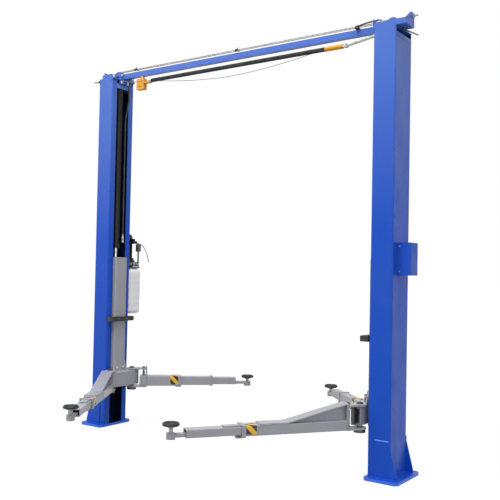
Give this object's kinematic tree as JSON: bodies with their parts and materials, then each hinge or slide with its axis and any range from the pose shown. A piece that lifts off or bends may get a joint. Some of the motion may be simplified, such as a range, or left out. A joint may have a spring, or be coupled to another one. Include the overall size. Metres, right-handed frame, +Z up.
{
  "type": "two post car lift",
  "caption": "Car lift of tall channel posts joined by an overhead beam, with sliding carriages, swinging telescopic arms, round pads and a height limit bar.",
  "frame": {"origin": "on the floor under the base plates, midway between the posts, at the centre of the outer anchor holes", "axes": "X from the left post to the right one, +Y the way a car drives in, +Z up"},
  "size_m": [3.452, 2.4476, 3.569],
  "materials": {
    "blue_paint": "gloss powder coat",
    "grey_paint": "satin grey paint",
    "black_paint": "gloss black",
    "yellow_paint": "satin",
    "dark_steel": "blackened",
    "cable_steel": "stranded wire",
    "bar_steel": "zinc plated",
    "chrome_rod": "hard chrome",
    "rubber": "moulded rubber",
    "hose_rubber": "smooth",
    "foam": "matt foam",
    "nylon": "natural nylon",
    "white_plastic": "milky plastic"
  },
  "bodies": {
    "frame": {"left_base_plate": "blue_paint", "left_post": "blue_paint", "left_foot_plates": "blue_paint", "left_post_cap": "blue_paint", "left_cylinder": "black_paint", "right_base_plate": "blue_paint", "right_post": "blue_paint", "right_foot_plates": "blue_paint", "right_post_cap": "blue_paint", "right_cylinder": "black_paint", "right_lock_cover": "blue_paint", "overhead_beam": "blue_paint", "level_cables": "cable_steel", "hydraulic_hose": "hose_rubber", "limit_bar_pivot": "bar_steel", "limit_switch": "yellow_paint", "power_unit_tank": "white_plastic", "power_unit_pump": "dark_steel", "power_unit_motor": "black_paint", "power_unit_valve": "dark_steel"},
    "left_sheave": {"left_top_sheave": "blue_paint"},
    "left_carriage": {"left_carriage_column": "grey_paint", "left_slide_blocks": "nylon", "left_arm_bracket": "grey_paint", "left_arm_pins": "dark_steel", "left_door_bumper": "rubber", "left_cylinder_rod": "chrome_rod"},
    "left_front_arm_body": {"left_front_arm": "grey_paint"},
    "left_front_inner_body": {"left_front_arm_inner": "grey_paint"},
    "left_front_pad_body": {"left_front_pad_screw": "dark_steel", "left_front_pad": "rubber"},
    "left_rear_arm_body": {"left_rear_arm": "grey_paint"},
    "left_rear_middle_body": {"left_rear_arm_middle": "grey_paint"},
    "left_rear_inner_body": {"left_rear_arm_inner": "grey_paint"},
    "left_rear_pad_body": {"left_rear_pad_screw": "dark_steel", "left_rear_pad": "rubber"},
    "right_sheave": {"right_top_sheave": "blue_paint"},
    "right_carriage": {"right_carriage_column": "grey_paint", "right_slide_blocks": "nylon", "right_arm_bracket": "grey_paint", "right_arm_pins": "dark_steel", "right_door_bumper": "rubber", "right_cylinder_rod": "chrome_rod"},
    "right_front_arm_body": {"right_front_arm": "grey_paint"},
    "right_front_inner_body": {"right_front_arm_inner": "grey_paint"},
    "right_front_pad_body": {"right_front_pad_screw": "dark_steel", "right_front_pad": "rubber"},
    "right_rear_arm_body": {"right_rear_arm": "grey_paint"},
    "right_rear_middle_body": {"right_rear_arm_middle": "grey_paint"},
    "right_rear_inner_body": {"right_rear_arm_inner": "grey_paint"},
    "right_rear_pad_body": {"right_rear_pad_screw": "dark_steel", "right_rear_pad": "rubber"},
    "limit_bar_body": {"limit_bar": "bar_steel", "limit_bar_foam": "foam", "limit_bar_sleeve": "yellow_paint"}
  },
  "joints": [
    {"name": "left_sheave_spin", "type": "hinge", "parent": "frame", "child": "left_sheave", "pos_m": [-1.478, 0, 3.497], "axis": [0, 1, 0], "continuous": true},
    {"name": "left_carriage_slide", "type": "slide", "parent": "frame", "child": "left_carriage", "axis": [0, 0, 1], "range_m": [-0.27, 1.3]},
    {"name": "left_front_arm_swing", "type": "hinge", "parent": "left_carriage", "child": "left_front_arm_body", "pos_m": [-1.355, -0.15, 0.464], "axis": [0, 0, 1], "range_deg": [-32, 55]},
    {"name": "left_front_arm_slide", "type": "slide", "parent": "left_front_arm_body", "child": "left_front_inner_body", "axis": [0.5621, -0.8271, 0], "range_m": [-0.3, 0.2]},
    {"name": "left_front_pad_height", "type": "slide", "parent": "left_front_inner_body", "child": "left_front_pad_body", "axis": [0, 0, 1], "range_m": [-0.02, 0.025]},
    {"name": "left_rear_arm_swing", "type": "hinge", "parent": "left_carriage", "child": "left_rear_arm_body", "pos_m": [-1.355, 0.15, 0.464], "axis": [0, 0, 1], "range_deg": [-41, 47]},
    {"name": "left_rear_middle_slide", "type": "slide", "parent": "left_rear_arm_body", "child": "left_rear_middle_body", "axis": [0.749, 0.6626, 0], "range_m": [-0.22, 0.03]},
    {"name": "left_rear_inner_slide", "type": "slide", "parent": "left_rear_middle_body", "child": "left_rear_inner_body", "axis": [0.749, 0.6626, 0], "range_m": [-0.2, 0.03]},
    {"name": "left_rear_pad_height", "type": "slide", "parent": "left_rear_inner_body", "child": "left_rear_pad_body", "axis": [0, 0, 1], "range_m": [-0.02, 0.025]},
    {"name": "right_sheave_spin", "type": "hinge", "parent": "frame", "child": "right_sheave", "pos_m": [1.478, 0, 3.497], "axis": [0, 1, 0], "continuous": true},
    {"name": "right_carriage_slide", "type": "slide", "parent": "frame", "child": "right_carriage", "axis": [0, 0, 1], "range_m": [-0.27, 1.3]},
    {"name": "right_front_arm_swing", "type": "hinge", "parent": "right_carriage", "child": "right_front_arm_body", "pos_m": [1.355, -0.15, 0.464], "axis": [0, 0, 1], "range_deg": [-54, 34]},
    {"name": "right_front_arm_slide", "type": "slide", "parent": "right_front_arm_body", "child": "right_front_inner_body", "axis": [-0.585, -0.8111, 0], "range_m": [-0.3, 0.2]},
    {"name": "right_front_pad_height", "type": "slide", "parent": "right_front_inner_body", "child": "right_front_pad_body", "axis": [0, 0, 1], "range_m": [-0.02, 0.025]},
    {"name": "right_rear_arm_swing", "type": "hinge", "parent": "right_carriage", "child": "right_rear_arm_body", "pos_m": [1.355, 0.15, 0.464], "axis": [0, 0, 1], "range_deg": [-45, 42]},
    {"name": "right_rear_middle_slide", "type": "slide", "parent": "right_rear_arm_body", "child": "right_rear_middle_body", "axis": [-0.7314, 0.682, 0], "range_m": [-0.22, 0.03]},
    {"name": "right_rear_inner_slide", "type": "slide", "parent": "right_rear_middle_body", "child": "right_rear_inner_body", "axis": [-0.7314, 0.682, 0], "range_m": [-0.2, 0.03]},
    {"name": "right_rear_pad_height", "type": "slide", "parent": "right_rear_inner_body", "child": "right_rear_pad_body", "axis": [0, 0, 1], "range_m": [-0.02, 0.025]},
    {"name": "limit_bar_pivot_hinge", "type": "hinge", "parent": "frame", "child": "limit_bar_body", "pos_m": [1.106, -0.025, 3.404], "axis": [0, 1, 0], "range_deg": [0, 1]}
  ],
  "couplings": [
    {"joint": "right_carriage_slide", "follows": "left_carriage_slide", "ratio": 1}
  ]
}
